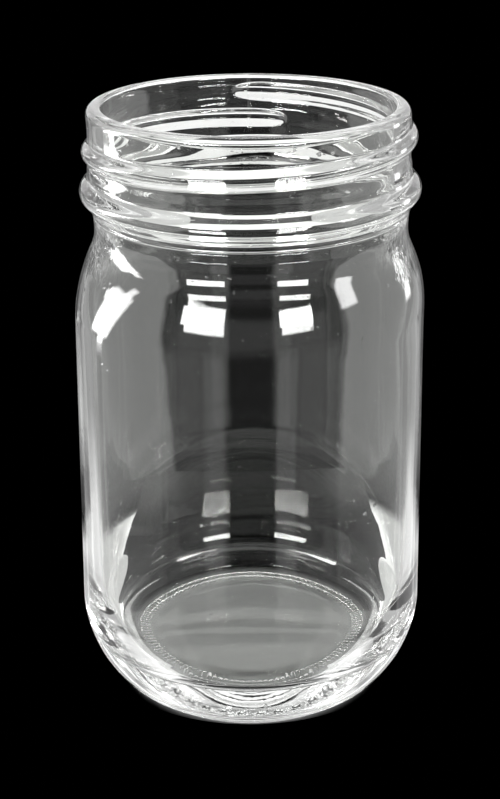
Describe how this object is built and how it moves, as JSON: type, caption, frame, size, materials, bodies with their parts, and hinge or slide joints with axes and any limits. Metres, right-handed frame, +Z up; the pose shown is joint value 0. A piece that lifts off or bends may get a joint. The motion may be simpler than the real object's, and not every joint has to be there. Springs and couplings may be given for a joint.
{
  "type": "glass preserving jar",
  "caption": "Clear moulded-glass jar with a wide open mouth, a round screw thread and bead, a short neck, sloping shoulder, near-straight body and deep rounded heel",
  "frame": {"origin": "middle of the foot ring, on the plane the jar stands on", "axes": "+Z up along the jar's axis; -Y is the side the picture shows; +X is right in the picture"},
  "size_m": [0.0766, 0.0766, 0.131],
  "materials": {
    "clear_glass": "fire-polished moulded glass with a faint green-grey edge tint"
  },
  "bodies": {
    "root": {"glass_jar": "clear_glass"}
  },
  "joints": []
}
